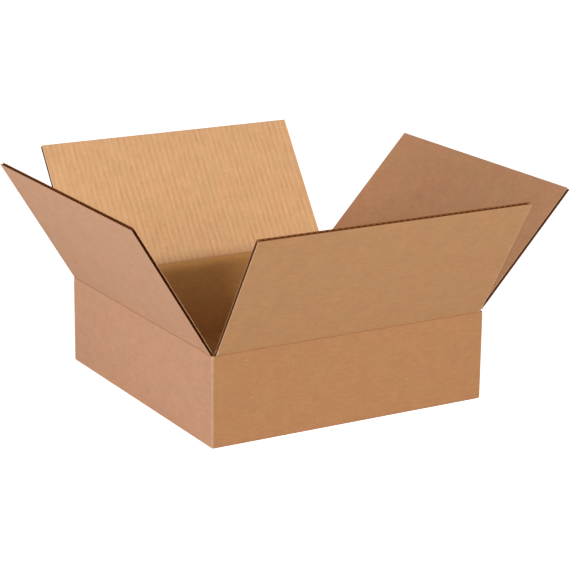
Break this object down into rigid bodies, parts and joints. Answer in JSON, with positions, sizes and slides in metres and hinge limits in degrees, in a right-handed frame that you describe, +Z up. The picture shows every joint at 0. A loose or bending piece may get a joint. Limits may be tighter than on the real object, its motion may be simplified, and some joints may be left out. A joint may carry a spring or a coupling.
{
  "type": "open corrugated cardboard box",
  "caption": "Low square corrugated shipping carton, open at the top, with hinged flaps that lean outwards and a closed, folded bottom.",
  "frame": {"origin": "centre of the underside, on the surface that the box stands on", "axes": "+Z up through the opening, +Y from the front wall to the back wall, +X from the left wall to the right wall"},
  "size_m": [0.5816, 0.5567, 0.2648],
  "materials": {
    "kraft_board": "unbleached kraft paper, matt, faint ribs from the flutes"
  },
  "bodies": {
    "carton": {"box_body": "kraft_board"},
    "front_flap": {"flap_front": "kraft_board"},
    "right_flap": {"flap_right": "kraft_board"},
    "back_flap": {"flap_back": "kraft_board"},
    "left_flap": {"flap_left": "kraft_board"}
  },
  "joints": [
    {"name": "front_flap_crease", "type": "hinge", "parent": "carton", "child": "front_flap", "pos_m": [0, -0.1781, 0.1095], "axis": [-1, 0, 0], "range_deg": [-83.9, 121.1]},
    {"name": "right_flap_crease", "type": "hinge", "parent": "carton", "child": "right_flap", "pos_m": [0.1815, 0, 0.1086], "axis": [0, -1, 0], "range_deg": [-72.3, 132.7]},
    {"name": "back_flap_crease", "type": "hinge", "parent": "carton", "child": "back_flap", "pos_m": [0, 0.1781, 0.1095], "axis": [1, 0, 0], "range_deg": [-79.8, 125.2]},
    {"name": "left_flap_crease", "type": "hinge", "parent": "carton", "child": "left_flap", "pos_m": [-0.1815, 0, 0.1086], "axis": [0, 1, 0], "range_deg": [-83.3, 121.7]}
  ]
}
